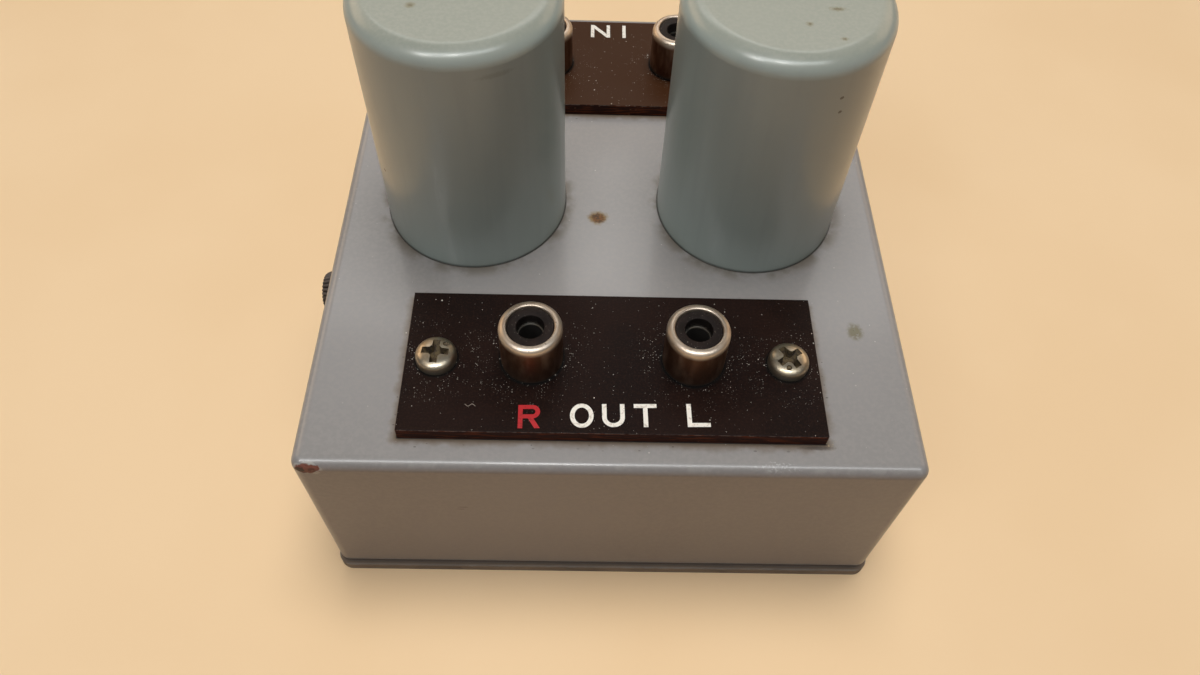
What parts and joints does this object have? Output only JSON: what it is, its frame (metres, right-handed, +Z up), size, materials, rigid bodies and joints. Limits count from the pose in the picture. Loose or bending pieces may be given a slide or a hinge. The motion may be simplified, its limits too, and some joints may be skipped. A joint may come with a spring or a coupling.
{
  "type": "moving coil step-up transformer",
  "caption": "Step-up transformer for a record player cartridge: round shielding cans on a grey steel case, phono jacks on dark plates for input and output, and a side earth terminal.",
  "frame": {"origin": "middle of the underside of the bottom cover", "axes": "+X to the right and +Y to the back as seen from the output side, +Z up"},
  "size_m": [0.0883, 0.0926, 0.0726],
  "materials": {
    "grey_enamel": "smooth gloss grey enamel, a chip at one corner",
    "cover_steel": "dark grey, dull",
    "can_enamel": "smooth gloss grey-green enamel",
    "phenolic_sheet": "satin black-brown laminated phenolic",
    "nickel_shell": "aged nickel plating",
    "black_moulding": "black moulded phenolic",
    "contact_metal": "nickel plated spring brass",
    "tinned_brass": "tinned brass",
    "screw_nickel": "yellowed nickel plating",
    "zinc_steel": "zinc plated steel",
    "brass": "turned brass",
    "cap_black": "black moulded phenolic, straight knurls",
    "base_moulding": "brown moulded phenolic",
    "laminations": "stacked nickel-iron laminations",
    "bobbin_plastic": "ivory moulded plastic",
    "copper_wire": "enamelled copper wire",
    "felt": "grey packing felt",
    "lead_red": "red wire insulation",
    "lead_ivory": "ivory wire insulation",
    "lead_black": "black wire insulation"
  },
  "bodies": {
    "root": {"case": "grey_enamel", "bottom_cover": "cover_steel", "can_r": "can_enamel", "can_l": "can_enamel", "out_plate": "phenolic_sheet", "in_plate": "phenolic_sheet", "out_r_shell": "nickel_shell", "out_l_shell": "nickel_shell", "in_r_shell": "nickel_shell", "in_l_shell": "nickel_shell", "out_r_insulator": "black_moulding", "out_l_insulator": "black_moulding", "in_r_insulator": "black_moulding", "in_l_insulator": "black_moulding", "out_r_contact": "contact_metal", "out_l_contact": "contact_metal", "in_r_contact": "contact_metal", "in_l_contact": "contact_metal", "out_r_tag": "tinned_brass", "out_l_tag": "tinned_brass", "in_r_tag": "tinned_brass", "in_l_tag": "tinned_brass", "terminal_lug": "tinned_brass", "plate_screws": "screw_nickel", "plate_nuts": "screw_nickel", "cover_screws": "zinc_steel", "cover_nuts": "zinc_steel", "plate_washers": "zinc_steel", "bush_washers": "zinc_steel", "terminal_lock_washer": "zinc_steel", "core_strap_r": "zinc_steel", "core_strap_l": "zinc_steel", "bush_r": "brass", "bush_l": "brass", "bush_nuts": "brass", "terminal_stud": "brass", "terminal_nut": "brass", "can_base_r": "base_moulding", "can_base_l": "base_moulding", "core_r": "laminations", "core_l": "laminations", "bobbin_r": "bobbin_plastic", "bobbin_l": "bobbin_plastic", "primary_winding_r": "copper_wire", "primary_winding_l": "copper_wire", "secondary_winding_r": "copper_wire", "secondary_winding_l": "copper_wire", "packing_pad_r": "felt", "packing_pad_l": "felt", "primary_leads_r": "lead_red", "primary_leads_l": "lead_red", "secondary_leads_r": "lead_ivory", "secondary_leads_l": "lead_ivory", "earth_leads": "lead_black"},
    "clamp_washer": {"clamp_washer": "brass"},
    "terminal_cap": {"terminal_cap": "cap_black"}
  },
  "joints": [
    {"name": "clamp_slide", "type": "slide", "parent": "root", "child": "clamp_washer", "axis": [-1, 0, 0], "range_m": [0, 0.002]},
    {"name": "cap_turn", "type": "hinge", "parent": "clamp_washer", "child": "terminal_cap", "pos_m": [-0.0445, -0.0052, 0.0175], "axis": [-1, 0, 0], "range_deg": [0, 1440]}
  ],
  "couplings": [
    {"joint": "cap_turn", "follows": "clamp_slide", "rad_per_m": 12566}
  ]
}
